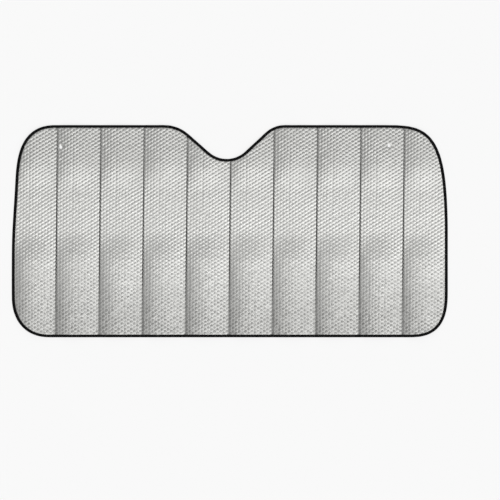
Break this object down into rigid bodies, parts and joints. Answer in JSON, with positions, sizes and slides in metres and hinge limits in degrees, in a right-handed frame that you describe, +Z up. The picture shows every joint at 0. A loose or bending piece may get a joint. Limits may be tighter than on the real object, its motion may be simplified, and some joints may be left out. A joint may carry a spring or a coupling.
{
  "type": "windscreen sunshade",
  "caption": "Folding windscreen sunshade opened out flat: silver bubble foil pressed into upright panels, a mirror notch in its top edge and a folded black tape round its rim.",
  "frame": {"origin": "on the floor under the middle of the outline", "axes": "+X along the dashboard, to the right in the picture; +Y towards the edge with the mirror notch; +Z up, out of the bubble side"},
  "size_m": [1.43, 0.696, 0.0098],
  "materials": {
    "foil": "satin aluminised film over bubbles",
    "tape": "black woven binding tape"
  },
  "bodies": {
    "root": {"foil_sheet": "foil", "edge_binding": "tape"}
  },
  "joints": []
}
